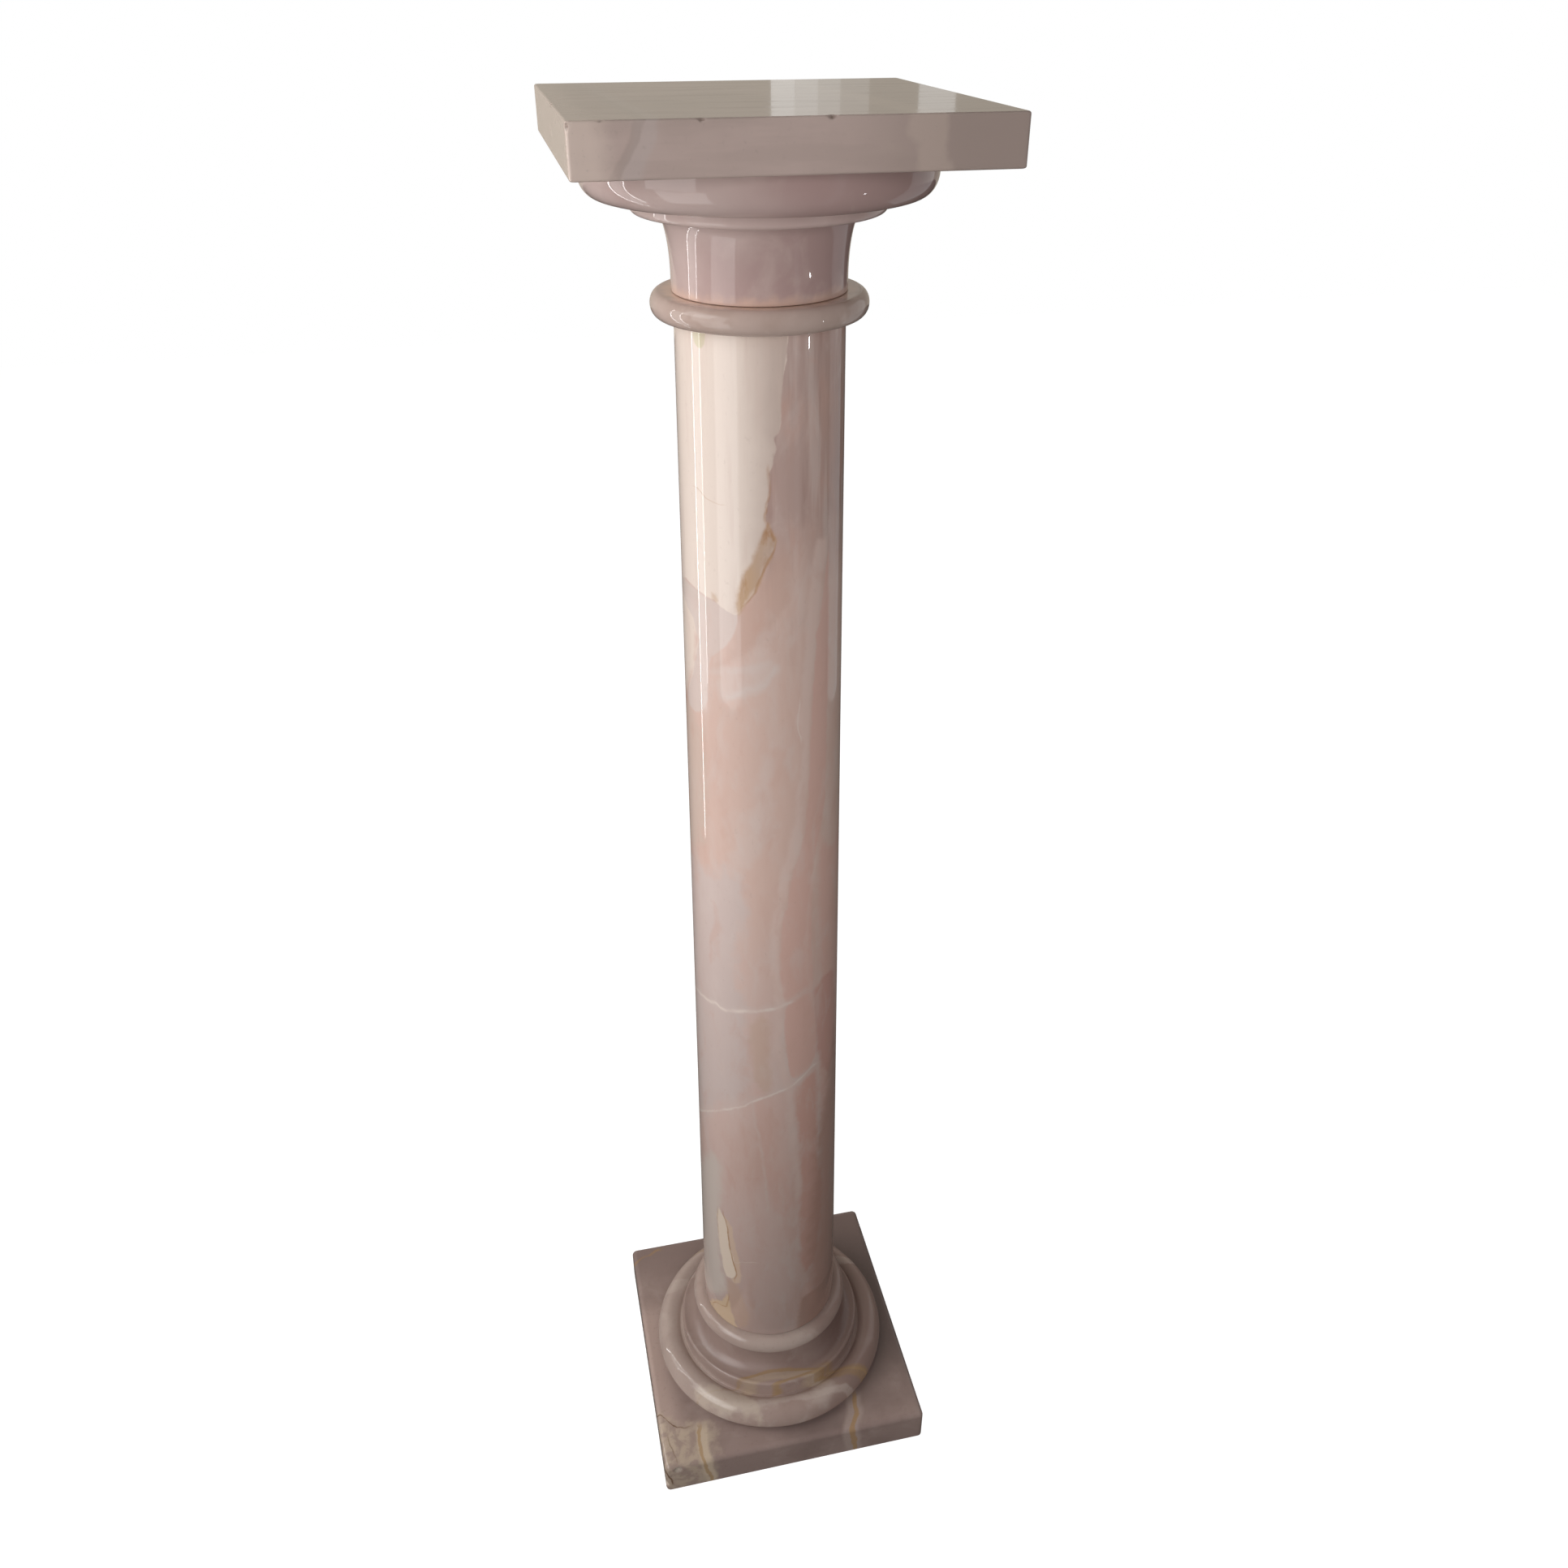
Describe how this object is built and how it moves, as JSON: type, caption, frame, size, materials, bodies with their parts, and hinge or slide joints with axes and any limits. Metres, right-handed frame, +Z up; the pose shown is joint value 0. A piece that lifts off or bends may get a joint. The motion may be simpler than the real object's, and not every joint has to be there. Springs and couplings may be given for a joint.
{
  "type": "onyx marble display column",
  "caption": "Free-standing turned stone column on a square plinth, with a moulded base, a tapering plain shaft, a ringed neck and a square top slab to stand a thing on.",
  "frame": {"origin": "on the floor, at the middle of the plinth's underside, on the column's axis", "axes": "+Z up the column's axis; +X and +Y square to the faces of the plinth and of the top slab, with the face that the picture shows best towards -Y"},
  "size_m": [0.2284, 0.2284, 1.05],
  "materials": {
    "plinth_onyx": "pink-grey onyx marble, polished, cream cloud and yellow veins at one corner, worn to a soft sheen",
    "base_onyx": "dusky pink onyx marble, polished, with an ochre vein and cream patches",
    "shaft_onyx": "pink onyx marble, high polish, cream patch at the head, pale cloudy veins, ochre-edged cream wedge at the foot",
    "ring_onyx": "pink-beige onyx marble, high polish",
    "capital_onyx": "mauve-pink onyx marble, high polish",
    "slab_onyx": "grey-beige onyx marble, polished top, small chips along the front edge"
  },
  "bodies": {
    "root": {"plinth": "plinth_onyx", "base_moulding": "base_onyx", "shaft": "shaft_onyx", "neck_ring": "ring_onyx", "capital": "capital_onyx", "top_slab": "slab_onyx"}
  },
  "joints": []
}
